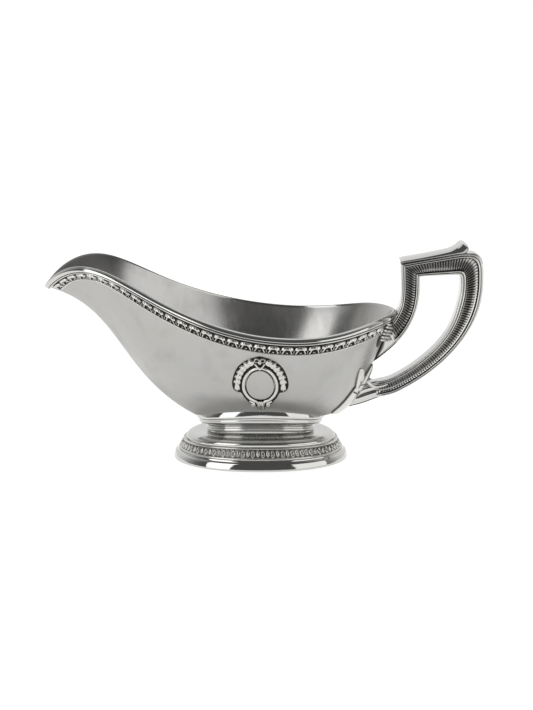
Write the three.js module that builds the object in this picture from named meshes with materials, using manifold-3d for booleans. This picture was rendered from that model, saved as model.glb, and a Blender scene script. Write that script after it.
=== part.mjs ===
// A silver sauce boat on an oval foot: a raised boat-shaped body with a long lip, a moulded rim,
// two lengths of leaf border, a channelled angular handle with a thumb rest, ribbed shells at its
// upper joint and a leaf at its lower one, a framed oval tablet on one side, and a hollow foot.
// Millimetres, +Z up. The lip points along -X, the handle along +X, and the tablet faces -Y.
import * as THREE from 'three';
import { mergeVertices } from 'three/addons/utils/BufferGeometryUtils.js';
import Module from 'manifold-3d';

const wasm = await Module();
wasm.setup();

const { PI, abs, atan2, cos, floor, hypot, max, min, sign, sin } = Math;
const V = (x, y, z) => new THREE.Vector3(x, y, z);

// Driving dimensions
const WALL = 1.2; // thickness of the raised body
const SEAT = 0.3; // room for solder between neighbouring pieces
const MID_X = -1.6; // middle of the foot along the length
const BOTTOM_Z = 18.2; // underside of the body, above the middle of the foot
const HALF_BREADTH = 43.7; // widest half breadth of the rim
const STERN_REACH = 66.1; // from the middle of the foot to the rim under the handle
const LIP_REACH = 105.6; // from the middle of the foot to the tip of the lip

// Half of the rim line, from the stern round to the tip of the lip: x, half width, height
const RIM = [
  [64.5, 0, 74.0], [61.8, 12, 73.8], [52.5, 26, 72.6], [36, 37.2, 69.4], [16, 42.6, 68.1],
  [-6, 43.3, 70.2], [-27, 39.6, 75.3], [-46, 33.8, 82.6], [-63, 28.8, 91.0], [-78, 24.6, 97.3],
  [-90.5, 19.4, 98.0], [-100.2, 12.8, 93.6], [-105.9, 6.2, 88.0], [-107.2, 0, 86.2],
];
const TIP = RIM.length - 1; // station of the tip of the lip; the stern is station 0
const LAPS = 2 * TIP; // stations in one turn of the rim

// The body's seat on the foot: an oval that rides up at the sides
const BASE = { end: 32.5, side: 21.6, z: 24.6, dip: 3.2 };
// Bilge of the body, where it turns from the seat up to the walls
const BILGE = { stern: 47.0, sternZ: 24.5, keel: -73.6, keelZ: 42.8, side: 33.6, sideZ: 35.0 };
// How the walls stand under the rim
const TOPSIDE = { x: 0.93, y: 0.94, tipX: 0.287, tipY: 0.24, sternX: 0.076, drop: 22.5, tipDrop: 12.8 };

const LEAF_PITCH = 6.57; // one leaf of the rim border
const BORDER = { from: 24, to: 208 }; // along the rim, from the middle of the stern to the tip

const SILVER = { color: 0xbdbcb8, roughness: 0.28, metalness: 1 };
const ORNAMENT = { color: 0xa3a19c, roughness: 0.38, metalness: 1 };

// Smooth step whose first and second slopes vanish at both ends
function ease(a, b, x) {
  const t = min(max((x - a) / (b - a), 0), 1);
  return t * t * t * (t * (6 * t - 15) + 10);
}

function mix(a, b, t) {
  return a + (b - a) * t;
}

// A closed curve through points, one unit of the parameter apart, with continuous curvature
function closedCurve(points) {
  const n = points.length;
  const bend = points.map(() => V(0, 0, 0));
  for (let pass = 0; pass < 60; pass++) {
    for (let i = 0; i < n; i++) {
      const before = (i + n - 1) % n;
      const after = (i + 1) % n;
      const rise = points[before].clone().add(points[after]).addScaledVector(points[i], -2);
      bend[i] = rise.multiplyScalar(6).sub(bend[before]).sub(bend[after]).multiplyScalar(0.25);
    }
  }
  return (s) => {
    const lap = ((s % n) + n) % n;
    const i = floor(lap) % n;
    const j = (i + 1) % n;
    const t = lap - floor(lap);
    const r = 1 - t;
    return points[i].clone().multiplyScalar(r).addScaledVector(points[j], t)
      .addScaledVector(bend[i], (r * r * r - r) / 6).addScaledVector(bend[j], (t * t * t - t) / 6);
  };
}

const starboard = RIM.map(([x, y, z]) => V(x, y, z));
const port = RIM.slice(1, -1).reverse().map(([x, y, z]) => V(x, -y, z));
const rimAt = closedCurve([...starboard, ...port]);

function bezier(a, b, c, d, t) {
  const r = 1 - t;
  return a.clone().multiplyScalar(r * r * r).addScaledVector(b, 3 * r * r * t)
    .addScaledVector(c, 3 * r * t * t).addScaledVector(d, t * t * t);
}

// Angle of a station of the rim as seen from above the middle of the foot
function bearing(s) {
  const rim = rimAt(s);
  const reach = rim.x > MID_X ? STERN_REACH : LIP_REACH;
  return atan2(rim.y / HALF_BREADTH, (rim.x - MID_X) / reach);
}

// Outer face of the body: t is 1 at the rim, 0 at the seat on the foot, -1 at the middle below
function hull(s, t) {
  const rim = rimAt(s);
  const angle = bearing(s);
  const c = cos(angle);
  const swing = cos(2 * angle);
  const base = V(MID_X + BASE.end * c, BASE.side * sin(angle), BASE.z - BASE.dip * swing);
  const keelZ = (BILGE.sternZ + BILGE.keelZ) / 2;
  const middleZ = (BILGE.sideZ + keelZ) / 2;
  const low = V(
    mix(BILGE.keel, BILGE.stern, (1 + c) / 2),
    BILGE.side * sin(angle),
    middleZ + c * (BILGE.sternZ - BILGE.keelZ) / 2 + swing * (keelZ - middleZ),
  );
  if (t < 0) {
    const inward = base.clone().addScaledVector(low.clone().sub(base), -0.18);
    const flat = V(mix(MID_X, base.x, 0.45), 0.45 * base.y, BOTTOM_Z);
    return bezier(base, inward, flat, V(MID_X, 0, BOTTOM_Z), -t);
  }
  const toTip = ease(PI * 11 / 18, PI, abs(angle));
  const toStern = 1 - ease(0, PI / 2, abs(angle));
  const up = V(
    MID_X + (TOPSIDE.x - TOPSIDE.tipX * toTip - TOPSIDE.sternX * toStern) * (rim.x - MID_X),
    (TOPSIDE.y - TOPSIDE.tipY * toTip) * rim.y,
    rim.z - TOPSIDE.drop + TOPSIDE.tipDrop * toTip ** 1.5 - 1.5 * toStern,
  );
  return bezier(base, low, up, rim, t);
}

const STEP = 1e-3;

function hullNormal(s, t) {
  if (t <= -1) return V(0, 0, -1);
  const along = hull(s + STEP, t).sub(hull(s - STEP, t));
  const upward = hull(s, min(t + STEP, 1)).sub(hull(s, max(t - STEP, -1)));
  return along.cross(upward).normalize();
}

// A point at a height above the outer face; a negative height is inside the wall
function skin(s, t, height) {
  return hull(s, t).addScaledVector(hullNormal(s, t), height);
}

// A point under the rim: depth down the wall, negative above the rim, and height off the wall
function belowRim(s, depth, height) {
  const slope = hull(s, 1).sub(hull(s, 1 - STEP)).divideScalar(STEP);
  if (depth > 0) return skin(s, 1 - depth / slope.length(), height);
  return skin(s, 1, height).addScaledVector(slope.normalize(), -depth);
}

// Length along the rim from the stern, and the station at a length
const FINE = 24;
const lengths = [0];
for (let i = 1; i <= TIP * FINE; i++) {
  const step = rimAt(i / FINE).distanceTo(rimAt((i - 1) / FINE));
  lengths.push(lengths[i - 1] + step);
}

function stationAt(length) {
  const target = min(abs(length), lengths[TIP * FINE]);
  let i = 1;
  while (i < TIP * FINE && lengths[i] < target) i++;
  const part = (target - lengths[i - 1]) / (lengths[i] - lengths[i - 1]);
  return sign(length) * (i - 1 + part) / FINE;
}

// Builds one closed body from loops of points. A first or last entry that is a single point is a
// pole; with joined set, the last loop meets the first; open ends are closed by a fan.
function loft(loops, joined = false) {
  const points = [];
  const faces = [];
  const rows = loops.map((loop) => {
    const list = Array.isArray(loop) ? loop : [loop];
    const first = points.length;
    points.push(...list);
    return list.map((_, i) => first + i);
  });
  const count = max(...rows.map((row) => row.length));
  const strip = (a, b) => {
    for (let i = 0; i < count; i++) {
      const j = (i + 1) % count;
      if (b.length > 1) faces.push([a[i % a.length], b[j], b[i]]);
      if (a.length > 1) faces.push([a[i], a[j], b[j % b.length]]);
    }
  };
  const lid = (row, front) => {
    const middle = V(0, 0, 0);
    row.forEach((i) => middle.add(points[i]));
    points.push(middle.divideScalar(row.length));
    const hub = points.length - 1;
    for (let i = 0; i < count; i++) {
      const j = (i + 1) % count;
      faces.push(front ? [hub, row[j], row[i]] : [hub, row[i], row[j]]);
    }
  };
  for (let k = 1; k < rows.length; k++) strip(rows[k - 1], rows[k]);
  const last = rows[rows.length - 1];
  if (joined) strip(last, rows[0]);
  if (!joined && rows[0].length > 1) lid(rows[0], true);
  if (!joined && last.length > 1) lid(last, false);
  return facingOut(points, faces);
}

function facingOut(points, faces) {
  let volume = 0;
  faces.forEach(([a, b, c]) => {
    volume += points[a].dot(points[b].clone().cross(points[c]));
  });
  const index = faces.flatMap(([a, b, c]) => (volume > 0 ? [a, b, c] : [a, c, b]));
  const geometry = new THREE.BufferGeometry();
  const positions = points.flatMap((p) => p.toArray());
  geometry.setAttribute('position', new THREE.Float32BufferAttribute(positions, 3));
  geometry.setIndex(index);
  return mergeVertices(geometry, 1e-4);
}

// A copy with positions only, its shared corners merged
function closedCopy(geometry) {
  const bare = geometry.clone();
  bare.deleteAttribute('normal');
  bare.deleteAttribute('uv');
  return mergeVertices(bare, 1e-4);
}

function toSolid(geometry) {
  const merged = closedCopy(geometry);
  const mesh = new wasm.Mesh({
    numProp: 3,
    vertProperties: new Float32Array(merged.getAttribute('position').array),
    triVerts: new Uint32Array(merged.getIndex().array),
  });
  return new wasm.Manifold(mesh);
}

function toGeometry(solid) {
  const mesh = solid.getMesh();
  const geometry = new THREE.BufferGeometry();
  geometry.setAttribute('position', new THREE.Float32BufferAttribute(mesh.vertProperties, 3));
  geometry.setIndex(new THREE.Uint32BufferAttribute(mesh.triVerts, 1));
  return geometry;
}

// The largest of the pieces that a cut leaves, so that no crumb stays beside it
function largest(solid) {
  const parts = solid.decompose();
  return parts.reduce((best, part) => (part.volume() > best.volume() ? part : best));
}

const BODY_STATIONS = LAPS * 3;
const bodyStations = Array.from({ length: BODY_STATIONS }, (_, i) => i * LAPS / BODY_STATIONS);
const around = (place) => bodyStations.map(place);

// The raised body: outer face from below up to the rim, a rounded lip, and the inner face
const BOTTOM_ROWS = [-0.62, -0.25];
const WALL_ROWS = [0, 0.16, 0.34, 0.52, 0.7, 0.85, 0.94, 1];
const INNER_ROWS = [1, 0.88, 0.72, 0.52, 0.32, 0.14, 0, -0.25, -0.62];

function bowl() {
  const rows = [...BOTTOM_ROWS, ...WALL_ROWS];
  const outside = rows.map((t) => around((s) => hull(s, t)));
  const lip = around((s) => belowRim(s, -0.35, -WALL / 2));
  const inside = INNER_ROWS.map((t) => around((s) => skin(s, t, -WALL)));
  const under = V(MID_X, 0, BOTTOM_Z);
  return loft([under, ...outside, lip, ...inside, V(MID_X, 0, BOTTOM_Z + WALL)]);
}

// A solid that fills the body and stands off its outer face, to trim what meets it
function bodyTrim(height) {
  const rows = [...BOTTOM_ROWS, ...WALL_ROWS];
  const outside = rows.map((t) => around((s) => skin(s, t, height)));
  const lip = around((s) => belowRim(s, -1, -WALL / 2));
  return loft([V(MID_X, 0, BOTTOM_Z - height), ...outside, lip, V(MID_X, 0, BOTTOM_Z + 20)]);
}

// Everything on the wall thins out towards the tip of the lip
const TIP_THINNING = 0.45;

function thinned(s, height) {
  const toTip = abs(((s + LAPS) % LAPS) - TIP);
  return SEAT + (height - SEAT) * mix(TIP_THINNING, 1, ease(0, 2.2, toTip));
}

// Moulding round the rim: a sloping face, a step and a round wire. Depth and height, clockwise.
const MOULDING = [
  [2.75, SEAT], [0, SEAT], [-0.3, 0.6], [0.5, 1.4], [1.45, 1.7], [1.7, 1.3],
  [1.9, 1.8], [2.5, 1.85], [2.75, 1.3],
];

// The same, a seat's width larger, to trim what comes up against it
const MOULDING_ROOM = [
  [3.05, 0], [-0.6, 0], [-0.6, 0.9], [0.5, 1.7], [1.45, 2.0], [1.7, 1.6], [1.9, 2.1],
  [2.8, 2.15], [3.05, 1.6],
];

// A loop of points across the wall under the rim, from depths and heights
function acrossRim(s, profile) {
  return profile.map(([depth, height]) => belowRim(s, depth, thinned(s, height)));
}

function rimMoulding(profile) {
  return loft(around((s) => acrossRim(s, profile)), true);
}

// Leaf border: broad rounded leaves over darts, on a thin strip with a fillet below
const BORDER_TOP = 3.05;
const BORDER_FOOT = 8.5;
const LEAF_STEPS = 3; // sections in one leaf

function borderProfile(phase) {
  const leaf = abs(cos(PI * phase));
  return [
    [BORDER_FOOT, SEAT], [BORDER_TOP, SEAT], [BORDER_TOP, 0.9], [4.4, 0.95 + 0.75 * leaf],
    [5.9, 0.8 + 0.25 * leaf], [7.2, 1.35 - 0.35 * leaf], [BORDER_FOOT, 0.85],
  ];
}

function leafBorder(side) {
  const count = Math.round((BORDER.to - BORDER.from) / LEAF_PITCH) * LEAF_STEPS;
  const loops = [];
  for (let i = 0; i <= count; i++) {
    const s = stationAt(side * mix(BORDER.from, BORDER.to, i / count));
    loops.push(acrossRim(s, borderProfile(i / LEAF_STEPS + 0.5)));
  }
  return loft(loops);
}

// Foot: ovals given by half length, half breadth, height at the ends and height at the sides
const FOOT_STEPS = 46;
const PLAN_POWER = 2.15; // 2 would be an ellipse; more is fuller at the quarters

function oval([end, side, endZ, sideZ], angle) {
  const c = cos(angle);
  const d = sin(angle);
  const x = end * sign(c) * abs(c) ** (2 / PLAN_POWER);
  const y = side * sign(d) * abs(d) ** (2 / PLAN_POWER);
  return V(MID_X + x, y, mix(sideZ, endZ, (1 + cos(2 * angle)) / 2));
}

function ovalRing(profile, steps = FOOT_STEPS) {
  const loops = profile.map((ring) => (
    Array.from({ length: steps }, (_, i) => oval(ring, 2 * PI * i / steps))
  ));
  return loft(loops, true);
}

// The collar fits up against the body, so its upper edges follow the body's own face
const COLLAR = [
  [32.3, 21.6, 21.6, 26.4], [32.0, 21.3, 20.2, 24.8], [31.0, 20.3, 18.9, 23.2],
  [29.7, 18.9, 17.9, 21.3], [28.9, 18.1, 17.3, 20.2], [27.7, 16.9, 16.9, 19.5],
  [25.4, 14.6, 17.0, 19.5],
];

// No station lies on the middle plane, so that a cut there stays clean
const COLLAR_STEPS = 41;
const COLLAR_STATIONS = Array.from({ length: COLLAR_STEPS }, (_, i) => (i + 0.25) * LAPS / COLLAR_STEPS);

function footCollar() {
  const edge = (t, height) => COLLAR_STATIONS.map((s) => skin(s, t, height));
  const rings = COLLAR.map((ring) => COLLAR_STATIONS.map((s) => {
    const angle = bearing(s);
    const [end, side, endZ, sideZ] = ring;
    return V(MID_X + end * cos(angle), side * sin(angle), mix(sideZ, endZ, (1 + cos(2 * angle)) / 2));
  }));
  return loft([edge(-0.22, SEAT), edge(-0.1, SEAT), edge(0.015, SEAT), ...rings], true);
}

const NECK = [
  [27.0, 16.1, 16.55, 19.05], [26.5, 15.6, 15.6, 18.0], [26.6, 15.7, 14.9, 17.2],
  [27.3, 16.4, 14.6, 16.8], [27.4, 16.5, 14.1, 16.1], [26.7, 15.8, 13.7, 15.75],
  [25.2, 14.3, 13.7, 15.75], [25.0, 14.1, 16.6, 19.05],
];

const DOME = [
  [27.0, 16.1, 13.35, 15.4], [28.2, 17.3, 13.1, 15.1], [31.5, 20.6, 12.9, 14.75],
  [34.6, 23.7, 12.6, 14.2], [36.7, 25.8, 11.8, 13.3], [37.4, 26.5, 10.3, 11.7],
  [35.9, 25.0, 10.2, 11.6], [33.4, 22.6, 11.4, 12.9], [25.3, 14.3, 12.3, 14.3],
  [25.3, 14.3, 13.35, 15.4],
];

const BORDER_STRIP = { topZ: 9.95, topSideZ: 11.35, footZ: 5.3, footSideZ: 5.9 };

// The border strip of the foot: a bead, a sloping band and a second bead
function footBorder() {
  const { topZ, topSideZ, footZ, footSideZ } = BORDER_STRIP;
  const bead = 0.55;
  const section = [
    [0, -1.2], [0, 0.1], [0.08, bead], [0.18, 0], [0.85, 0.3], [0.9, 0.8], [1, 0.8], [1, -1.1],
  ];
  return ovalRing(section.map(([part, out]) => [
    mix(38.0, 40.4, part) + out, mix(27.1, 29.5, part) + out,
    mix(topZ, footZ, part), mix(topSideZ, footSideZ, part),
  ]));
}

const PLINTH = [
  [39.9, 29, 5, 5.6], [41.2, 30.3, 5, 5.5], [41.4, 30.4, 4.3, 4.7], [42.6, 31.1, 3.5, 3.8],
  [43.2, 31.6, 2.2, 2.4], [43.5, 31.9, 0.9, 0.9], [43.4, 31.8, 0.3, 0.3], [42.9, 31.3, 0, 0],
  [41.4, 29.8, 0, 0], [41, 29.5, 2.4, 2.6], [39, 28, 4.2, 4.6],
];

// Handle: the outer and the inner outline of its loop, as outer x, z and inner x, z.
// The stem rises from the body to a mitred corner; the rest runs along the top, round the far
// corner and down to the body again.
const STEM = [
  [57.5, 67.5, 54.5, 52.5], [64.4, 74.0, 67.4, 61.8], [66.6, 78.0, 73.0, 69.4],
  [67.4, 82.5, 75.6, 76.5], [67.3, 88.5, 76.5, 84.0], [66.9, 97.8, 76.6, 91.4],
];
const LOOP = [
  [66.9, 97.8, 76.6, 91.4], [78.0, 99.8, 80.6, 91.7], [88.0, 101.7, 88.5, 92.0],
  [96.5, 103.2, 94.0, 92.2], [102.3, 103.3, 95.5, 91.9], [105.6, 101.4, 96.0, 91.0],
  [107.1, 98.0, 96.2, 89.5], [107.6, 92.0, 96.3, 87.0], [107.4, 84.0, 96.0, 82.5],
  [105.9, 75.6, 94.9, 77.0], [102.6, 67.2, 92.9, 70.0], [97.3, 58.6, 89.3, 62.6],
  [90.3, 50.4, 84.0, 55.9], [82.4, 43.4, 77.0, 49.5], [74.2, 38.2, 70.0, 44.5],
  [65.4, 33.3, 62.5, 40.4], [57.2, 30.0, 55.5, 38.6], [47.6, 27.0, 47.0, 36.0],
];
const STEM_STEPS = 10;
const LOOP_STEPS = 32;
const ROOT_BREADTH = 0.86; // breadth of the lower root against the stem

// Section of the handle: distance across the loop and out to the side. Each broad side has two
// raised rails with a channel between them, and the edges are rounded.
const SECTION = [[5.25, 0], [4.9, 3.0], [3.15, 4.95], [2.9, 5.5], [2.15, 5.5], [1.85, 4.7]];

function wholeSection(quarter) {
  const half = [...quarter, ...quarter.slice().reverse().map(([across, out]) => [-across, out])];
  const under = half.slice(1, -1).reverse().map(([across, out]) => [across, -out]);
  return [...half, ...under];
}

// Loops of the section between the two outlines, kept square to the plane of the loop. With a
// margin, the section is that much larger all round and its channels are filled.
function handleLoops(margin) {
  const section = wholeSection(margin ? SECTION.slice(0, 4) : SECTION);
  const line = (outline, k) => {
    const points = outline.map((pair) => V(pair[k], 0, pair[k + 1]));
    return new THREE.CatmullRomCurve3(points, false, 'catmullrom');
  };
  const run = (outline, steps) => {
    const outer = line(outline, 0);
    const inner = line(outline, 2);
    return Array.from({ length: steps + 1 }, (_, i) => (
      [outer.getPoint(i / steps), inner.getPoint(i / steps)]
    ));
  };
  const stem = run(STEM, STEM_STEPS);
  const loop = run(LOOP, LOOP_STEPS).slice(1);
  const corner = STEM_STEPS + LOOP_STEPS / 4;
  return [...stem, ...loop].map(([outer, inner], i) => {
    const at = outer.clone().add(inner).multiplyScalar(0.5);
    const across = outer.clone().sub(inner).divideScalar(2 * SECTION[0][0]);
    const breadth = mix(1, ROOT_BREADTH, ease(corner, STEM_STEPS + LOOP_STEPS, i));
    return section.map(([reach, out]) => {
      const grown = 1 + margin / hypot(reach, out);
      return at.clone().addScaledVector(across, reach * grown).add(V(0, out * breadth * grown, 0));
    });
  });
}

// Thumb rest: a plate along the top bar that rises to a small scroll. Outline as x and z.
const REST_HALF = 7.2;
const REST_TOP = [[66.7, 99.6], [74, 100.9], [83, 102.8], [90.3, 104.4], [93.8, 105.8]];
const REST_SCROLL = { x: 97.1, z: 106.0, radius: 2.4 };
const REST_UNDER = [[97.5, 103.9], [88, 102.25], [78, 100.3], [68.4, 98.5]];

function thumbRest() {
  const { x, z, radius } = REST_SCROLL;
  const roll = Array.from({ length: 7 }, (_, i) => {
    const angle = PI * (0.78 - 1.1 * i / 6);
    return [x + radius * cos(angle), z + radius * sin(angle)];
  });
  const outline = [...REST_TOP, ...roll, ...REST_UNDER];
  const shape = new THREE.Shape(outline.map(([px, pz]) => new THREE.Vector2(px, pz)));
  const plate = new THREE.ExtrudeGeometry(shape, { depth: 2 * REST_HALF, bevelEnabled: false });
  plate.rotateX(PI / 2).translate(0, REST_HALF, 0);
  return closedCopy(plate);
}

// A leaf on the body's wall. Across runs from -1 to 1 and down from 0 to 1.
function wallLeaf({ columns, rows, place, relief }) {
  const grid = (height) => Array.from({ length: rows + 1 }, (_, r) => (
    Array.from({ length: columns + 1 }, (_, k) => {
      const across = 2 * k / columns - 1;
      const down = r / rows;
      const { s, t } = place(across, down);
      return skin(s, t, height(across, down));
    })
  ));
  const front = grid(relief);
  const back = grid(() => SEAT);
  return loft(front.map((row, r) => [...row, ...back[r].slice().reverse()]));
}

const LEAF_EDGE = 0.9; // thickness of the leaves at their edges

// Shells of the upper joint: on each side of the stem, ribs lie one under another and shrink to a
// point. Depths are down from the rim, and the stem's side is where they begin.
const SHELL = { top: 3.2, reach: 23.5, ribs: 6, width: 11.5, swell: 3.4, rib: 0.5, stem: 5.9 };
const STATION = 12.6; // length of the rim in one station near the stern
const SHELL_COLUMNS = 5;
const RIB_STEPS = 4; // sections in one rib

// The station where a level of the body is this far to the side
function stationBeside(y, t) {
  let inner = 0;
  let outer = sign(y) * 2;
  for (let pass = 0; pass < 24; pass++) {
    const middle = (inner + outer) / 2;
    if (abs(hull(middle, t).y) < abs(y)) inner = middle;
    else outer = middle;
  }
  return inner;
}

function stemShell(side) {
  const slope = hull(0, 1).sub(hull(0, 1 - STEP)).length() / STEP;
  const count = SHELL.ribs * RIB_STEPS;
  const loops = [];
  for (let i = 0; i <= count; i++) {
    const down = i / count;
    const t = 1 - mix(SHELL.top, SHELL.reach, down) / slope;
    const near = stationBeside(side * SHELL.stem, t);
    const width = 1.2 + SHELL.width * sin(PI * down ** 0.8) ** 0.7;
    const rib = SHELL.rib * abs(sin(PI * SHELL.ribs * down)) * (1 - ease(0.75, 1, down));
    const swell = SHELL.swell * (1 - 0.6 * down);
    const row = (height) => Array.from({ length: SHELL_COLUMNS + 1 }, (_, k) => {
      const across = k / SHELL_COLUMNS;
      return skin(near + side * width * across / STATION, t, height(across));
    });
    const front = row((across) => LEAF_EDGE + swell * (1 - across) ** 1.3 + rib);
    const back = row(() => SEAT);
    loops.push([...front, ...back.reverse()]);
  }
  return loft(loops);
}

// Lower leaf: a lobed leaf that clasps the root of the handle and runs down to a point
const ACANTHUS = { top: 0.66, tip: 0.03, half: 17.5, lobes: 3, swell: 4.2, lobe: 0.35 };

function lowerLeaf() {
  const wave = (down) => cos(2 * PI * ACANTHUS.lobes * down);
  const width = (down) => (
    1 + ACANTHUS.half * sin(PI * mix(0.12, 0.93, down)) ** 0.8 * (1 + 0.12 * wave(down))
  );
  return wallLeaf({
    columns: 10,
    rows: 12,
    place: (across, down) => ({
      s: stationAt(across * width(down)),
      t: mix(ACANTHUS.top, ACANTHUS.tip, down),
    }),
    relief: (across, down) => {
      const swell = ACANTHUS.swell * sin(PI * mix(0.15, 0.9, down));
      const lobe = ACANTHUS.lobe * wave(down) * ease(0.3, 0.8, abs(across));
      return LEAF_EDGE + swell * (1 - ease(0, 0.8, abs(across))) + lobe;
    },
  });
}

// Tablet side: a plain tablet in a frame on the wall, whose middle is at this station and level.
// Places on them are along and up in the plane of that middle.
const TABLET = { s: 21.39, t: 0.56, half: 6.6, rise: 8.8 };
const FRAME = { half: 8.75, rise: 10.85, hole: 7.0, holeRise: 9.2 };
// Half the outline of the cast plate under the garland, from above the bow to the pendant leaf
const PLATE = [
  [0, 15.7], [2.2, 15.1], [4.8, 14.2], [8.0, 12.3], [10.6, 9.6], [12.2, 6.3], [13.2, 2.5], [13.4, -0.8],
  [12.7, -3.2], [10.9, -4.4], [9.2, -4.8], [7.7, -8.0], [5.2, -12.0], [3.7, -13.8], [2.3, -14.4],
  [1.4, -18.4], [0, -19.3],
];

const tabletMiddle = hull(TABLET.s, TABLET.t);
const tabletNormal = hullNormal(TABLET.s, TABLET.t);
const tabletAlong = V(0, 0, 1).cross(tabletNormal).normalize();
const tabletUp = tabletNormal.clone().cross(tabletAlong);

// The station and level of the wall in front of a point of the tablet's plane
function onWall(along, up) {
  let s = TABLET.s;
  let t = TABLET.t;
  for (let pass = 0; pass < 8; pass++) {
    const miss = hull(s, t).sub(tabletMiddle);
    const ea = along - miss.dot(tabletAlong);
    const eu = up - miss.dot(tabletUp);
    const ds = hull(s + STEP, t).sub(hull(s - STEP, t)).divideScalar(2 * STEP);
    const dt = hull(s, t + STEP).sub(hull(s, t - STEP)).divideScalar(2 * STEP);
    const a = ds.dot(tabletAlong);
    const b = dt.dot(tabletAlong);
    const c = ds.dot(tabletUp);
    const d = dt.dot(tabletUp);
    const det = a * d - b * c;
    s += (ea * d - eu * b) / det;
    t += (eu * a - ea * c) / det;
  }
  return { s, t };
}

function onWallRing(steps, reach, height) {
  return Array.from({ length: steps }, (_, i) => {
    const angle = 2 * PI * i / steps;
    const { s, t } = onWall(reach(angle) * sin(angle), reach(angle) * cos(angle));
    return skin(s, t, height(angle));
  });
}

function tablet() {
  const steps = 32;
  const ring = (size, height) => onWallRing(
    steps,
    (angle) => size / hypot(sin(angle) / TABLET.half, cos(angle) / TABLET.rise),
    () => height,
  );
  const { s, t } = onWall(0, 0);
  const front = [ring(0.5, 1.0), ring(0.93, 1.0), ring(1, 0.75)];
  const back = [ring(1, SEAT), ring(0.5, SEAT)];
  return loft([skin(s, t, 1.0), ...front, ...back, skin(s, t, SEAT)]);
}

const platePoints = PLATE.map(([x, y]) => V(x, y, 0));
const plateCurve = new THREE.CatmullRomCurve3(platePoints, false, 'catmullrom', 0.5);
const plateOutline = plateCurve.getPoints(200).map(({ x, y }) => [abs(atan2(x, y)), hypot(x, y)]);

// Distance from the tablet's middle to the plate's edge. The angle starts at the top.
function plateReach(angle) {
  const away = min(angle, 2 * PI - angle);
  const next = max(1, plateOutline.findIndex(([turn]) => turn >= away - 1e-9));
  const [a, near] = plateOutline[next - 1];
  const [b, far] = plateOutline[next];
  return mix(near, far, (away - a) / (b - a));
}

// Height of the garland along its middle: husks down both swags, then the pendant leaf
const SWAG_END = 1.9;
const LEAF_START = 2.98;
const HUSKS = 10;

function garlandHeight(angle) {
  const away = min(angle, 2 * PI - angle);
  if (away > LEAF_START) return 1.8;
  if (away > SWAG_END) return 0.75;
  return 1.35 + 0.3 * cos(2 * PI * HUSKS * away / SWAG_END);
}

function frameAndGarland() {
  const hole = (angle) => 1 / hypot(sin(angle) / FRAME.hole, cos(angle) / FRAME.holeRise);
  const band = (angle) => 1 / hypot(sin(angle) / FRAME.half, cos(angle) / FRAME.rise);
  const between = (from, to, share) => (angle) => mix(from(angle), to(angle), share);
  const at = (value) => () => value;
  const ring = (reach, height) => onWallRing(96, reach, height);
  return loft([
    ring(hole, at(SEAT)),
    ring(hole, at(1.1)),
    ring(between(hole, band, 0.5), at(1.75)),
    ring(band, at(0.9)),
    ring(between(band, plateReach, 0.28), at(0.75)),
    ring(between(band, plateReach, 0.55), garlandHeight),
    ring(between(band, plateReach, 0.85), at(0.65)),
    ring(plateReach, at(0.6)),
    ring(plateReach, at(SEAT)),
    ring(between(hole, plateReach, 0.5), at(SEAT)),
  ], true);
}

const part = new THREE.Group();

function add(name, geometry, look = SILVER) {
  geometry.computeVertexNormals();
  const mesh = new THREE.Mesh(geometry, new THREE.MeshStandardMaterial(look));
  mesh.name = name;
  part.add(mesh);
}

// The handle is cut to the body, and the leaf of its lower root is cut to the handle
const clearOfBody = toSolid(bodyTrim(SEAT)).add(toSolid(rimMoulding(MOULDING_ROOM)));
const handleSolid = largest(toSolid(loft(handleLoops(0))).subtract(clearOfBody));
const clearOfHandle = toSolid(loft(handleLoops(SEAT)));
const trimmedLeaf = largest(toSolid(lowerLeaf()).subtract(clearOfHandle));

add('bowl', bowl());
add('rim_moulding', rimMoulding(MOULDING));
add('rim_border_front', leafBorder(-1), ORNAMENT);
add('rim_border_back', leafBorder(1), ORNAMENT);
add('handle', toGeometry(handleSolid));
add('thumb_rest', thumbRest());
add('stem_shell_front', stemShell(-1), ORNAMENT);
add('stem_shell_back', stemShell(1), ORNAMENT);
add('handle_lower_leaf', toGeometry(trimmedLeaf), ORNAMENT);
add('tablet', tablet());
add('tablet_frame', frameAndGarland(), ORNAMENT);
add('foot_collar', footCollar());
add('foot_neck', ovalRing(NECK));
add('foot_dome', ovalRing(DOME));
add('foot_border', footBorder(), ORNAMENT);
add('foot_plinth', ovalRing(PLINTH));

export default part;
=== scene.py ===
import math

import bpy
import numpy as np
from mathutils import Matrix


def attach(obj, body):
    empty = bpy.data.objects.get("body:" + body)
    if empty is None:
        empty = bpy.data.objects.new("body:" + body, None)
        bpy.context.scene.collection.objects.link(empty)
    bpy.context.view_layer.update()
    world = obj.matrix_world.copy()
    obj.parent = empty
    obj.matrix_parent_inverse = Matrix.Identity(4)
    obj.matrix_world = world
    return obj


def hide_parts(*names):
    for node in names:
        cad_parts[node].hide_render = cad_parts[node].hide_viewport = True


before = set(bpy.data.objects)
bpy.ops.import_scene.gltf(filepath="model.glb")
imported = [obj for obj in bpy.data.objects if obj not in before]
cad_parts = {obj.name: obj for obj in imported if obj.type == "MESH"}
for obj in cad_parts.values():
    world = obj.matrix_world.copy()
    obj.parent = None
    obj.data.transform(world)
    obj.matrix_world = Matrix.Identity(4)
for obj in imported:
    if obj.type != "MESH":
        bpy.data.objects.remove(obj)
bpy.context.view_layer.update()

# A silver sauce boat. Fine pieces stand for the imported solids, laid out by the same named sizes.
# Shapes are worked out in millimetres and made in metres: +Z up, the lip along -X.
PI = math.pi
MM = 0.001

# The body

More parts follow.
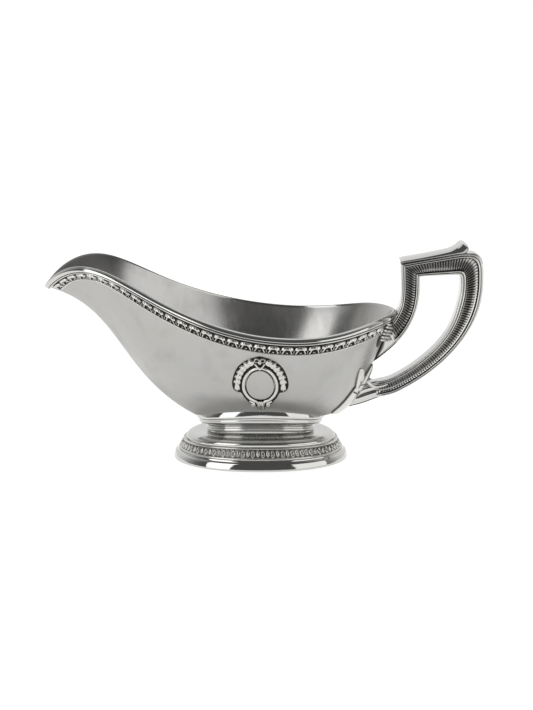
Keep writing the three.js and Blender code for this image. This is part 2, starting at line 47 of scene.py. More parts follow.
WALL = 1.2  # thickness of the raised body
SEAT = 0.3  # height at which what is soldered to the body begins
BACKING = 0.1  # height of the backs of what is soldered to it
MID_X = -1.6  # middle of the foot along the length
BOTTOM_Z = 18.2
HALF_BREADTH = 43.7
STERN_REACH = 66.1
LIP_REACH = 105.6
# Half of the rim, from the stern to the tip of the lip: x, half width, height
RIM = [
    (64.5, 0, 74.0), (61.8, 12, 73.8), (52.5, 26, 72.6), (36, 37.2, 69.4), (16, 42.6, 68.1),
    (-6, 43.3, 70.2), (-27, 39.6, 75.3), (-46, 33.8, 82.6), (-63, 28.8, 91.0), (-78, 24.6, 97.3),
    (-90.5, 19.4, 98.0), (-100.2, 12.8, 93.6), (-105.9, 6.2, 88.0), (-107.2, 0, 86.2),
]
TIP = len(RIM) - 1
LAPS = 2 * TIP
# The wall's lowest ring, and the ring that draws its lower half outwards
BASE = dict(end=32.5, side=21.6, z=24.6, dip=3.2)
BILGE = dict(stern=47.0, stern_z=24.5, keel=-73.6, keel_z=42.8, side=33.6, side_z=35.0)
# The ring that draws the upper half inwards: its share of the rim's length and breadth, and its
# drop below the rim, each with what it loses towards the tip of the lip and the stern
UPPER_LENGTH = dict(amidships=0.93, tip=0.287, stern=0.076)
UPPER_BREADTH = dict(amidships=0.94, tip=0.24)
UPPER_DROP = dict(amidships=22.5, tip=12.8, stern=-1.5)
LIP_FROM = PI * 11 / 18  # bearing at which the wall begins to take the form of the lip
BOTTOM_ROUNDING = 0.18  # how far the wall's slope goes on past its lowest ring
BOTTOM_FLAT = 0.45  # share of the lowest ring that the flat of the bottom takes up
TIP_THINNED, THINNED_FROM = 0.45, 2.2  # share of height left at the tip; stations before it


def ease(a, b, x):
    t = np.clip((np.asarray(x, float) - a) / (b - a), 0, 1)
    return t * t * t * (t * (6 * t - 15) + 10)


def mix(a, b, t):
    return a + (b - a) * t


def unit(v):
    return v / np.linalg.norm(v, axis=-1, keepdims=True)


def stack(*parts):
    return np.stack(np.broadcast_arrays(*parts), -1)


def alike(*values):
    """Numbers and arrays as arrays of one shape."""
    return np.broadcast_arrays(*(np.asarray(v, float) for v in values))


def closed_curve(points):
    """A closed cubic through points one unit of the parameter apart, with continuous curvature."""
    p = np.array(points, float)
    n = len(p)
    bend = np.zeros_like(p)
    rise = 6 * (np.roll(p, 1, 0) - 2 * p + np.roll(p, -1, 0))
    for _ in range(60):  # settles the continuous curvature
        for i in range(n):
            bend[i] = (rise[i] - bend[i - 1] - bend[(i + 1) % n]) / 4

    def at(s):
        lap = np.asarray(s, float) % n
        i = np.floor(lap).astype(int) % n
        j = (i + 1) % n
        t = (lap - np.floor(lap))[..., None]
        r = 1 - t
        return p[i] * r + p[j] * t + ((r**3 - r) * bend[i] + (t**3 - t) * bend[j]) / 6

    return at


def catmull(points, count):
    """An open smooth curve through points, at even steps of its parameter."""
    p = np.array(points, float)
    p = np.vstack([2 * p[0] - p[1], p, 2 * p[-1] - p[-2]])
    u = np.linspace(0, len(points) - 1, count)
    i = np.minimum(u.astype(int), len(points) - 2)
    t = (u - i)[:, None]
    a, b, c, d = p[i], p[i + 1], p[i + 2], p[i + 3]
    return 0.5 * (
        2 * b + (c - a) * t + (2 * a - 5 * b + 4 * c - d) * t**2 + (3 * b - a - 3 * c + d) * t**3
    )


def bezier(a, b, c, d, t):
    r = 1 - t
    return r**3 * a + 3 * r * r * t * b + 3 * r * t * t * c + t**3 * d


rim_at = closed_curve(RIM + [(x, -y, z) for x, y, z in RIM[-2:0:-1]])


def bearing(s):
    rim = rim_at(s)
    reach = np.where(rim[..., 0] > MID_X, STERN_REACH, LIP_REACH)
    return np.arctan2(rim[..., 1] / HALF_BREADTH, (rim[..., 0] - MID_X) / reach)


def hull(s, t):
    """Outer face of the body at a station of the rim. The level t is 1 at the rim, 0 at the seat
    on the foot and -1 at the middle below."""
    s, t = alike(s, t)
    rim = rim_at(s)
    angle = bearing(s)
    c, d = np.cos(angle), np.sin(angle)
    swing = np.cos(2 * angle)
    base = stack(MID_X + BASE["end"] * c, BASE["side"] * d, BASE["z"] - BASE["dip"] * swing)
    keel_z = (BILGE["stern_z"] + BILGE["keel_z"]) / 2
    middle_z = (BILGE["side_z"] + keel_z) / 2
    low = stack(
        mix(BILGE["keel"], BILGE["stern"], (1 + c) / 2),
        BILGE["side"] * d,
        middle_z + c * (BILGE["stern_z"] - BILGE["keel_z"]) / 2 + swing * (keel_z - middle_z),
    )
    to_tip = ease(LIP_FROM, PI, np.abs(angle))
    to_stern = 1 - ease(0, PI / 2, np.abs(angle))
    length, breadth, drop = UPPER_LENGTH, UPPER_BREADTH, UPPER_DROP
    share = length["amidships"] - length["tip"] * to_tip - length["stern"] * to_stern
    up = stack(
        MID_X + share * (rim[..., 0] - MID_X),
        (breadth["amidships"] - breadth["tip"] * to_tip) * rim[..., 1],
        rim[..., 2] - drop["amidships"] + drop["tip"] * to_tip**1.5 + drop["stern"] * to_stern,
    )
    inward = base - BOTTOM_ROUNDING * (low - base)
    flat = stack(mix(MID_X, base[..., 0], BOTTOM_FLAT), BOTTOM_FLAT * base[..., 1], BOTTOM_Z)
    centre = stack(MID_X, 0.0, BOTTOM_Z + 0 * c)
    t = t[..., None]
    wall = bezier(base, low, up, rim, np.maximum(t, 0))
    below = bezier(base, inward, flat, centre, np.maximum(-t, 0))
    return np.where(t < 0, below, wall)


STEP = 1e-3  # of a station or a level, for slopes


def hull_normal(s, t):
    along = hull(s + STEP, t) - hull(s - STEP, t)
    upward = hull(s, np.minimum(t + STEP, 1)) - hull(s, np.maximum(t - STEP, -1))
    return unit(np.cross(along, upward))


def skin(s, t, height):
    """A point at a height off the outer face."""
    s, t, height = alike(s, t, height)
    return hull(s, t) + hull_normal(s, t) * height[..., None]


def below_rim(s, depth, height):
    """A point under the rim, by its depth down the wall and its height off it."""
    s, depth, height = alike(s, depth, height)
    slope = (hull(s, 1.0) - hull(s, 1 - STEP)) / STEP
    length = np.linalg.norm(slope, axis=-1)
    under = skin(s, 1 - np.maximum(depth, 0) / length, height)
    return under + unit(slope) * np.maximum(-depth, 0)[..., None]


fine = np.linspace(0, TIP, TIP * 40 + 1)
steps_along = np.linalg.norm(np.diff(rim_at(fine), axis=0), axis=1)
lengths = np.concatenate([[0], np.cumsum(steps_along)])


def station_at(length):
    """The station at a length along the rim from the middle of the stern."""
    length = np.asarray(length, float)
    return np.sign(length) * np.interp(np.abs(length), lengths, fine)


def thinned(s, height):
    """Everything on the wall thins out towards the tip of the lip."""
    to_tip = np.abs((np.asarray(s, float) % LAPS) - TIP)
    return SEAT + (height - SEAT) * mix(TIP_THINNED, 1, ease(0, THINNED_FROM, to_tip))


# Planes that the wall is seen in front of: their origin and their two directions
FROM_STERN = ((0, 0, 0), np.array((0, 1.0, 0)), np.array((0, 0, 1.0)))
FROM_BELOW = ((0, 0, 0), np.array((1.0, 0, 0)), np.array((0, 1.0, 0)))


def on_wall(along, up, middle, e1, e2, start):
    """Station and level of the wall in front of points of a plane."""
    along, up = alike(along, up)
    s = np.full(along.shape, start[0], float)
    t = np.full(along.shape, start[1], float)
    for _ in range(8):  # closes in on the place, each step held short
        miss = hull(s, t) - middle
        ea = along - miss @ e1
        eu = up - miss @ e2
        ds = (hull(s + STEP, t) - hull(s - STEP, t)) / (2 * STEP)
        dt = (hull(s, t + STEP) - hull(s, t - STEP)) / (2 * STEP)
        a, b = ds @ e1, dt @ e1
        c, d = ds @ e2, dt @ e2
        det = a * d - b * c
        s = s + np.clip((ea * d - eu * b) / det, -1.5, 1.5)
        t = np.clip(t + (eu * a - ea * c) / det, 0.01, 1.1)
    return s, t


# Making meshes

shells = []  # closed bodies waiting to be made into one piece: points, faces, shade, shine


def quads(rows, columns, joined):
    """The faces between loops of points, whose last loop may be joined to the first."""
    r = np.arange(rows if joined else rows - 1)
    r, c = (v.ravel() for v in np.meshgrid(r, np.arange(columns), indexing="ij"))
    r2, c2 = (r + 1) % rows, (c + 1) % columns
    return np.stack([r * columns + c, r * columns + c2, r2 * columns + c2, r2 * columns + c], -1)


def volume_of(points, faces):
    total = 0.0
    for face in faces:
        a = points[face[:, 0]]
        for k in range(1, face.shape[1] - 1):
            across = np.cross(points[face[:, k]], points[face[:, k + 1]])
            total += np.einsum("ij,ij->i", a, across).sum()
    return total


def loft(loops, joined=False, poles=(None, None), dark=0.0, gloss=0.0):
    """Adds a closed body made of loops of points. Poles close the ends; otherwise flat lids do."""
    loops = np.asarray(loops, float)
    rows, columns = loops.shape[:2]
    points = loops.reshape(-1, 3)
    shade = np.broadcast_to(dark, (rows, columns)).ravel()
    shine = np.broadcast_to(gloss, (rows, columns)).ravel()
    faces = [quads(rows, columns, joined)]
    if not joined:
        around = np.arange(columns)
        after = (around + 1) % columns
        for end, pole in enumerate(poles):
            first = end * (rows - 1) * columns
            hub = loops[-end].mean(0) if pole is None else np.array(pole, float)
            points = np.vstack([points, hub])
            shade = np.append(shade, shade[first:first + columns].mean())
            shine = np.append(shine, shine[first])
            top = np.full(columns, len(points) - 1)
            ring = (around, after) if end else (after, around)
            faces.append(np.stack([top, first + ring[0], first + ring[1]], -1))
    if volume_of(points, faces) < 0:
        faces = [face[:, ::-1] for face in faces]
    shells.append((points, faces, shade, shine))


ROD_SIDES = 14


def rod(path, radius, count=28, flat=1.0):
    """Adds a rounded rod along a smooth path; its radius tapers round at both ends."""
    p = catmull(path, count)
    along = unit(np.gradient(p, axis=0))
    side = unit(np.cross(along, (0.0, -1.0, 0.0)))[:, None]
    out = np.cross(side, along[:, None])
    place = np.linspace(-1, 1, count)
    size = radius * np.sqrt(np.clip(1 - np.abs(place) ** 5, 0.02, 1))[:, None, None]
    turn = np.arange(ROD_SIDES)[:, None] / ROD_SIDES * 2 * PI
    loft(p[:, None] + (side * np.cos(turn) + out * (np.sin(turn) * flat)) * size)


def make(name, look, node, sharp=38):
    """Makes one piece of the bodies added since the last one. It stands for one node."""
    all_points, all_faces, shade, shine = zip(*shells)
    shells.clear()
    faces = []
    first = 0
    for own_points, own_faces in zip(all_points, all_faces):
        for face in own_faces:
            faces.extend((face + first).tolist())
        first += len(own_points)
    mesh = bpy.data.meshes.new(name)
    mesh.from_pydata((np.vstack(all_points) * MM).tolist(), [], faces)
    mesh.validate()
    mesh.shade_smooth()
    mesh.set_sharp_from_angle(angle=math.radians(sharp))
    for field, values in (("shade_and_tarnish", shade), ("polish", shine)):
        layer = mesh.attributes.new(field, "FLOAT", "POINT")
        layer.data.foreach_set("value", np.concatenate(values).astype(np.float32))
    mesh.materials.append(look)
    piece = bpy.data.objects.new(name, mesh)
    bpy.context.scene.collection.objects.link(piece)
    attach(piece, "root")
    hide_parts(node)
    return piece


# Silver

WARMTH = (1.0, 0.985, 0.95)  # tint of the warmer clouds
STAIN = 0.55  # how much of its light a stained place keeps
TARNISH_AND_SHADE = (0.028, 0.026, 0.023)  # colour of tarnish and of painted shade in recesses, grooves, joints and undersides
MIRROR = 0.05  # roughness where the polish is full
MARKS = 0.05  # roughness that handling adds
CLOUDS = (-0.02, 0.03)  # roughness that comes and goes over a few centimetres
RECESS_ROUGHNESS = 0.25
BUMP_HEIGHT = 0.0004  # metres
GRAIN = 0.25  # share of the finest bumps


def math_of(nodes, links, kind, a, b):
    """A node that combines two outputs, or an output and a number."""
    node = nodes.new("ShaderNodeMath")
    node.operation = kind
    links.new(a, node.inputs[0])
    if isinstance(b, float):
        node.inputs[1].default_value = b
    else:
        links.new(b, node.inputs[1])
    return node.outputs[0]


def silver(name, light, roughness, bumps, stains):
    """Silver with handling marks. Where the attribute of tarnish and painted shade is 1 it is dark
    with them, and where the polish attribute is 1 it is a mirror."""
    material = bpy.data.materials.new(name)
    material.use_nodes = True
    nodes, links = material.node_tree.nodes, material.node_tree.links
    shader = nodes["Principled BSDF"]
    shader.inputs["Metallic"].default_value = 1.0
    place = nodes.new("ShaderNodeTexCoord")

    def attribute(field):
        node = nodes.new("ShaderNodeAttribute")
        node.attribute_name = field
        return node.outputs["Fac"]

    def noise(scale, detail, stretch=(1, 1, 1)):
        mapping = nodes.new("ShaderNodeMapping")
        mapping.inputs["Scale"].default_value = stretch
        texture = nodes.new("ShaderNodeTexNoise")
        texture.inputs["Scale"].default_value = scale
        texture.inputs["Detail"].default_value = detail
        links.new(place.outputs["Object"], mapping.inputs["Vector"])
        links.new(mapping.outputs["Vector"], texture.inputs["Vector"])
        return texture.outputs["Fac"]

    def ramp(source, low, high, a, b):
        node = nodes.new("ShaderNodeMapRange")
        for field, value in (("From Min", low), ("From Max", high), ("To Min", a), ("To Max", b)):
            node.inputs[field].default_value = value
        links.new(source, node.inputs["Value"])
        return node.outputs["Result"]

    def blend(factor, a, b):
        node = nodes.new("ShaderNodeMix")
        node.data_type = "RGBA"
        links.new(factor, node.inputs["Factor"])
        for socket, value in ((node.inputs[6], a), (node.inputs[7], b)):
            if isinstance(value, tuple):
                socket.default_value = (*value, 1)
            else:
                links.new(value, socket)
        return node.outputs[2]

    def combine(kind, a, b):
        return math_of(nodes, links, kind, a, b)

    # the amount of tarnish and painted shade, set per point by each piece
    shade_and_tarnish = attribute("shade_and_tarnish")
    warm = tuple(v * w for v, w in zip(light, WARMTH))
    tone = blend(ramp(noise(38, 3), 0.35, 0.7, 0, 1), light, warm)
    stain = ramp(noise(90, 5), 0.52, 0.78, 0, stains)
    tone = blend(stain, tone, tuple(STAIN * v for v in warm))
    links.new(blend(shade_and_tarnish, tone, TARNISH_AND_SHADE), shader.inputs["Base Color"])

    marks = ramp(noise(420, 4, (1, 1, 0.25)), 0.35, 0.75, roughness, roughness + MARKS)
    rough = combine("ADD", marks, ramp(noise(60, 3), 0.3, 0.7, *CLOUDS))
    polished = combine("MULTIPLY", attribute("polish"), roughness - MIRROR)
    rough = combine("SUBTRACT", rough, polished)
    rough = combine("ADD", rough, combine("MULTIPLY", shade_and_tarnish, RECESS_ROUGHNESS))
    links.new(rough, shader.inputs["Roughness"])

    bump = nodes.new("ShaderNodeBump")
    bump.inputs["Strength"].default_value = bumps
    bump.inputs["Distance"].default_value = BUMP_HEIGHT
    height = combine("ADD", combine("MULTIPLY", noise(900, 5), GRAIN), noise(45, 2))
    links.new(height, bump.inputs["Height"])
    links.new(bump.outputs["Normal"], shader.inputs["Normal"])
    return material


PLAIN = silver("plain_silver", (0.465, 0.463, 0.455), roughness=0.34, bumps=0.05, stains=0.3)
BRIGHT = silver("bright_silver", (0.6, 0.6, 0.59), roughness=0.06, bumps=0.015, stains=0.12)
CHASED = silver("chased_silver", (0.62, 0.61, 0.59), roughness=0.16, bumps=0.08, stains=0.2)

# The raised body, satin above, duller at its lowest and half polished inside

BODY_STEPS = 16  # for each point of the rim
WALL_ROWS, BOTTOM_ROWS, EDGE_ROWS = 46, 22, 6
NEAR_MIDDLE = 0.97  # how near the middle below the last ring lies
LIP_CROWN = 0.35  # how far the edge between the two faces is rounded up
LOW_GLOSS, EDGE_GLOSS, INSIDE_GLOSS = -0.8, 1.0, 0.45


def body():
    s = np.arange(LAPS * BODY_STEPS) / BODY_STEPS
    outside_rows = np.concatenate([
        np.linspace(-NEAR_MIDDLE, -0.03, BOTTOM_ROWS), np.linspace(0, 1, WALL_ROWS),
    ])
    inside_rows = np.concatenate([
        np.linspace(0.985, 0, WALL_ROWS - 4), np.linspace(-0.05, -NEAR_MIDDLE, BOTTOM_ROWS - 2),
    ])
    turn = np.linspace(0, PI, EDGE_ROWS + 1)[1:, None]
    edge = below_rim(s, -LIP_CROWN * np.sin(turn), -WALL / 2 * (1 - np.cos(turn)))
    gloss = np.concatenate([
        LOW_GLOSS * ease(0.4, 0.05, outside_rows),
        np.full(len(edge), EDGE_GLOSS),
        np.full(len(inside_rows), INSIDE_GLOSS),
    ])
    outside = hull(s, outside_rows[:, None])
    inside = skin(s, inside_rows[:, None], -WALL)
    loft(
        np.concatenate([outside, edge, inside]),
        poles=((MID_X, 0, BOTTOM_Z), (MID_X, 0, BOTTOM_Z + WALL)),
        gloss=gloss[:, None],
    )
    make("body", PLAIN, "bowl")


# The moulded rim: its section by depth below the rim and height off the wall

MOULDING = np.array([
    (2.75, 0.15), (1.4, 0.15), (0.0, 0.15), (-0.33, 0.0), (-0.3, 0.25), (-0.12, 0.55), (0.2, 0.95),
    (0.65, 1.3), (1.1, 1.52), (1.38, 1.55), (1.5, 1.42), (1.54, 1.2), (1.62, 1.05), (1.72, 1.1),
    (1.78, 1.35), (1.9, 1.64), (2.1, 1.81), (2.3, 1.83), (2.5, 1.72), (2.64, 1.5), (2.7, 1.2),
    (2.75, 0.8),
])
MOULDING_DARK = np.zeros(len(MOULDING))
MOULDING_DARK[10:15] = (0.5, 0.9, 1.0, 0.9, 0.4)  # painted shade in the groove above the wire
# painted shade on the underside of the moulding
MOULDING_DARK[-2:] = (0.7, 1.0)
MOULDING_STEPS = 20  # for each point of the rim


def moulded_rim():
    s = (np.arange(LAPS * MOULDING_STEPS) / MOULDING_STEPS)[:, None]
    depth, height = MOULDING.T
    loft(below_rim(s, depth, thinned(s, height)), joined=True, dark=MOULDING_DARK)
    make("moulded_rim", BRIGHT, "rim_moulding", sharp=60)


# Relief: heights over a plane, by places along it

def near(u, v, ax, ay, bx, by):
    """Distance from points to a straight line between two places."""
    dx, dy = bx - ax, by - ay
    along = np.clip(((u - ax) * dx + (v - ay) * dy) / (dx * dx + dy * dy), 0, 1)
    return np.hypot(u - ax - along * dx, v - ay - along * dy)


def ridge(distance, half, height):
    """A rounded ridge with steep flanks."""
    return height * np.sqrt(np.clip(1 - (distance / half) ** 2, 0, 1))


def petal(a, b, start, turn, length, half, height):
    """A rounded petal from a place, pointing at a turn from straight up, in degrees."""
    turn = math.radians(turn)
    x, y = a - start[0], b - start[1]
    along = (x * math.sin(turn) + y * math.cos(turn)) / length
    aside = x * math.cos(turn) - y * math.sin(turn)
    inside = (along > 0) & (along < 1)
    swell = np.sin(PI * np.clip(along, 0, 1) ** 0.8) ** 0.6
    width = half * np.maximum(swell, 1e-3)
    return np.where(inside, ridge(aside, width, height) * swell**0.5, 0)


def wire_oval(a, b, place, half, rise, thick, height):
    """A round wire bent into an oval."""
    x, y = a - place[0], b - place[1]
    q = np.hypot(x / half, y / rise)
    reach = np.hypot(x, y) / np.maximum(q, 1e-6)
    return ridge((q - 1) * reach, thick, height)


# The leaf border under the rim: an arched leaf on two splayed stalks, with a small drop between
# them, and a dart between neighbouring leaves

LEAF_PITCH = 6.57
BORDER_FROM, BORDER_TO = 19.2, 208.0  # along the rim from the middle of the stern
BAND_TOP, BAND_FOOT = 2.95, 8.5  # depth below the rim
BORDER_STEPS, BAND_STEPS = 1240, 34
BAND_GROUND = 0.45
LEAF = dict(half=3.05, rise=1.95, down=2.25, power=2.6, height=1.25)
FILLET = 4.85  # how far down the band the plain strip under the leaves is
VEIN_AT, VEIN_HALF, VEIN_DEPTH = 0.95, 0.14, 0.12


def border_relief(u, v):
    """Height and painted shade of the border at a place along it and down it. Each ridge has its
    half width and its height."""
    u, v = np.broadcast_arrays((u + LEAF_PITCH / 2) % LEAF_PITCH - LEAF_PITCH / 2, v)
    w = np.abs(u)
    power = LEAF["power"]
    cap = np.abs(u / LEAF["half"]) ** power + np.abs((v - LEAF["down"]) / LEAF["rise"]) ** power
    arch = np.where(v < 2.2 + 0.12 * w, ridge(cap ** (1 / power), 1, LEAF["height"]), 0)
    arch = arch * ease(0.8, 1.15, np.hypot(u, (v - 2.9) / 0.95))
    stalk = ridge(near(w, v, 1.2, 2.0, 2.3, 4.0), 0.42, 1.0)
    drop = ridge(np.hypot(u / 0.7, (v - 3.75) / 0.4), 1.0, 0.8)
    dart = ridge(near(w, v, LEAF_PITCH / 2, 2.6, LEAF_PITCH / 2, 3.9), 0.3, 0.75)
    fillet = ridge(np.abs(v - FILLET), 0.5, 0.85)
    foot = np.where(v > FILLET, 0.35 * ease(5.6, 4.9, v), 0)
    raised = np.maximum.reduce([arch, stalk, drop, dart, fillet, foot])
    veins = VEIN_DEPTH * np.exp(-(((w - VEIN_AT) / VEIN_HALF) ** 2)) * (arch > 0.4)
    # painted shade on the low ground between the leaves and in the veins
    dark = 1 - ease(0.12, 0.62, raised)
    dark = np.maximum(dark * (v < FILLET - 0.25), 0.15 * (veins > VEIN_DEPTH / 2))
    return BAND_GROUND + raised - veins, dark


def leaf_border(side, name, node):
    length = np.linspace(BORDER_FROM, BORDER_TO, BORDER_STEPS)[:, None]
    depth = np.linspace(BAND_TOP, BAND_FOOT, BAND_STEPS)
    height, dark = border_relief(length - BORDER_FROM - LEAF_PITCH / 2, depth - BAND_TOP)
    s = station_at(side * length)
    front = below_rim(s, depth, thinned(s, height))
    back = below_rim(s, (BAND_FOOT, BAND_TOP), BACKING)
    loft(np.concatenate([front, back], 1), dark=np.pad(dark, ((0, 0), (0, 2))))
    make(name, CHASED, node, sharp=50)


# The foot: ovals by half length, half breadth, height at the ends and height at the sides

PLAN_POWER = 2.15  # of the oval plan, where 2 is an ellipse
RING_STEPS, CUP_STEPS = 320, 360  # points round the ovals


def oval(sizes, angle, power=PLAN_POWER):
    """Points of ovals of four sizes."""
    c, d = np.cos(angle), np.sin(angle)
    x = sizes[..., 0] * np.sign(c) * np.abs(c) ** (2 / power)
    y = sizes[..., 1] * np.sign(d) * np.abs(d) ** (2 / power)
    z = mix(sizes[..., 3], sizes[..., 2], (1 + np.cos(2 * angle)) / 2)
    return np.stack([MID_X + x, y, z], -1)


def even_angles(count):
    """Angles that divide the oval of the foot into equal lengths."""
    angle = np.linspace(0, 2 * PI, 20001)
    line = oval(np.array([41.0, 30.0, 0.0, 0.0]), angle)
    run = np.concatenate([[0], np.cumsum(np.linalg.norm(np.diff(line, axis=0), axis=1))])
    return np.interp(np.arange(count) / count * run[-1], run, angle)


def rounded(rings, radius, steps, closed=True):
    """The same section with its corners rounded off."""
    rings = np.asarray(rings, float)
    n = len(rings)
    out = []
    for i in range(n):
        here = rings[i]
        before, after = rings[i - 1], rings[(i + 1) % n]
        if not closed and i in (0, n - 1):
            out.append(here)
            continue
        a = here + (before - here) * min(radius / np.linalg.norm(before - here), 0.45)
        b = here + (after - here) * min(radius / np.linalg.norm(after - here), 0.45)
        for t in np.linspace(0, 1, steps):
            out.append((1 - t) ** 2 * a + 2 * t * (1 - t) * here + t * t * b)
    return np.array(out)[:, None]


NECK = [
    (27.0, 16.1, 16.55, 19.05), (26.5, 15.6, 16.0, 18.5), (26.6, 15.7, 15.5, 18.2),
    (27.3, 16.4, 15.2, 17.9), (27.4, 16.5, 14.6, 16.9), (26.7, 15.8, 13.9, 16.2),
    (25.2, 14.3, 13.7, 15.75), (25.0, 14.1, 16.6, 19.05),
]
DOME = [
    (27.0, 16.1, 13.35, 15.4), (28.2, 17.3, 13.1, 15.1), (31.5, 20.6, 12.9, 14.75),
    (34.6, 23.7, 12.6, 14.2), (36.7, 25.8, 11.8, 13.3), (37.4, 26.5, 10.3, 11.7),
    (35.9, 25.0, 10.2, 11.6), (33.4, 22.6, 11.4, 12.9), (25.3, 14.3, 12.3, 14.3),
    (25.3, 14.3, 13.35, 15.4),
]
PLINTH = [
    (39.9, 29.0, 5.0, 5.6), (41.2, 30.3, 5.0, 5.5), (41.4, 30.4, 4.3, 4.7),
    (42.6, 31.1, 3.5, 3.8), (43.2, 31.6, 2.2, 2.4), (43.5, 31.9, 0.9, 0.9), (43.4, 31.8, 0.3, 0.3),
    (42.9, 31.3, 0, 0), (41.4, 29.8, 0, 0), (41.0, 29.5, 2.4, 2.6), (39.0, 28.0, 4.2, 4.6),
]


def foot_ring(name, node, rings, radius):
    sides = oval(rounded(rings, radius, 6), even_angles(RING_STEPS))
    loft(np.swapaxes(sides, 0, 1), joined=True)
    make(name, BRIGHT, node, sharp=70)


# The cup that the body sits in: a face that leans back to the wall, a fillet, a bead and a hollow

CUP_POWER = 2.3  # of its plan at the top; the plan of the foot takes over further down
CUP_TOP = (31.5, 21.75)  # half length and half breadth where it meets the wall
CUP_LEVEL = 0.12  # about the level of the wall there
CUP = [
    (32.0, 22.35, 21.1, 25.1), (32.0, 22.3, 20.8, 24.7), (31.5, 21.8, 20.3, 24.4),
    (31.0, 21.3, 20.1, 24.2), (30.9, 21.2, 19.6, 23.4), (31.1, 21.4, 19.2, 23.0),
    (30.9, 21.2, 18.5, 21.9), (29.9, 20.2, 17.9, 21.1), (28.9, 18.9, 17.6, 20.7),
    (28.0, 17.6, 17.3, 20.2), (27.3, 16.9, 16.9, 19.4), (25.4, 14.6, 17.0, 19.5),
]


def foot_cup():
    angle = even_angles(CUP_STEPS)
    rings = rounded(CUP, 0.5, 5, closed=False)
    power = mix(CUP_POWER, PLAN_POWER, ease(24.5, 19.5, rings[..., 3]))
    sides = oval(rings, angle, power)
    x = MID_X + (sides[0, :, 0] - MID_X) * (CUP_TOP[0] / CUP[0][0])
    y = sides[0, :, 1] * (CUP_TOP[1] / CUP[0][1])
    turn = TIP / PI * np.arctan2(np.abs(y) / 22, (x - MID_X) / 32)
    start = (np.where(y < 0, LAPS - turn, turn), CUP_LEVEL)
    s, t = on_wall(x, y, *FROM_BELOW, start)
    # it is closed inside the wall, where it isn't seen
    seat = skin(s, t - CUP_LEVEL, -0.3)[None]
    top = skin(s, t, np.array([[-0.4], [-0.1]]))
    loft(np.swapaxes(np.concatenate([seat, top, sides]), 0, 1), joined=True)
    make("foot_cup", BRIGHT, "foot_collar", sharp=60)


# The border of the foot: upright leaves and arches between two beads, on a ground darkened
# with painted shade

FOOT_LEAVES = 90  # upright leaves and arches together
FOOT_LEAF_PITCH = 2.45
FOOT_LEAF_STEPS, FOOT_LEAF_ROWS = 16, 22
BAND = dict(
    top=(38.0, 27.1, 9.95, 11.35), foot=(40.4, 29.5, 5.3, 5.9),
)  # its upper and lower edge, by the same four sizes
FOOT_DARK = 0.65


def foot_relief(phase, v):
    """Height of the foot's leaves and painted shade on the ground between them: the phase is in
    leaves, v is 0 at the top.
    """
    u = np.abs((phase + 0.5) % 1 - 0.5) * FOOT_LEAF_PITCH
    odd = np.floor((phase + 0.5) % 2)
    blade_half = 0.92 * np.sin(PI * np.clip(v, 0.02, 1)) ** 0.7
    midrib = 0.22 * np.exp(-((u / 0.1) ** 2))
    blade = ridge(u, np.maximum(blade_half, 1e-3), 0.55) - midrib
    arch = ridge(np.abs(np.hypot(u / 0.85, (v - 0.55) / 0.42) - 0.85) * 0.8, 0.26, 0.55)
    bud = ridge(np.hypot(u / 0.3, (v - 0.62) / 0.22), 1, 0.45)
    raised = np.where(odd > 0, blade, np.maximum(arch, bud))
    return raised, FOOT_DARK * (1 - ease(0.08, 0.4, raised))


def foot_leaf_border():
    count = FOOT_LEAVES * FOOT_LEAF_STEPS
    v = np.linspace(0, 1, FOOT_LEAF_ROWS)
    raised, dark = foot_relief(np.arange(count)[:, None] / FOOT_LEAF_STEPS, v)
    # The section of the strip: share of the way down it and height off it
    upper_turn, lower_turn = np.linspace(0.4, PI - 0.2, 6), np.linspace(0.2, 2.2, 5)
    section = [(0.0, -1.2), (0.0, 0.05)]
    section += [(0.09 - 0.09 * math.cos(a), 0.55 * math.sin(a)) for a in upper_turn]
    leaves = slice(len(section), len(section) + len(v))
    section += [(mix(0.2, 0.84, k), -0.12) for k in v]
    section += [(0.87 + 0.05 * (1 - math.cos(a)), 0.05 + 0.5 * math.sin(a)) for a in lower_turn]
    section += [(1.0, 0.5), (1.0, -1.1)]
    down, out = np.array(section).T
    out = np.tile(out, (count, 1))
    out[:, leaves] += raised
    shade = np.zeros(out.shape)
    # painted shade at both feet of the upper bead
    shade[:, 1] = 0.3
    shade[:, leaves.start - 1] = 0.8
    shade[:, leaves] = dark
    sizes = [mix(top, foot, down) for top, foot in zip(BAND["top"], BAND["foot"])]
    rings = stack(sizes[0] + out, sizes[1] + out, sizes[2], sizes[3])
    loft(oval(rings, even_angles(count)[:, None]), joined=True, dark=shade)
    make("foot_leaf_border", CHASED, "foot_border", sharp=50)


# The handle, lofted between its outer and inner outlines: outer x, z, inner x, z

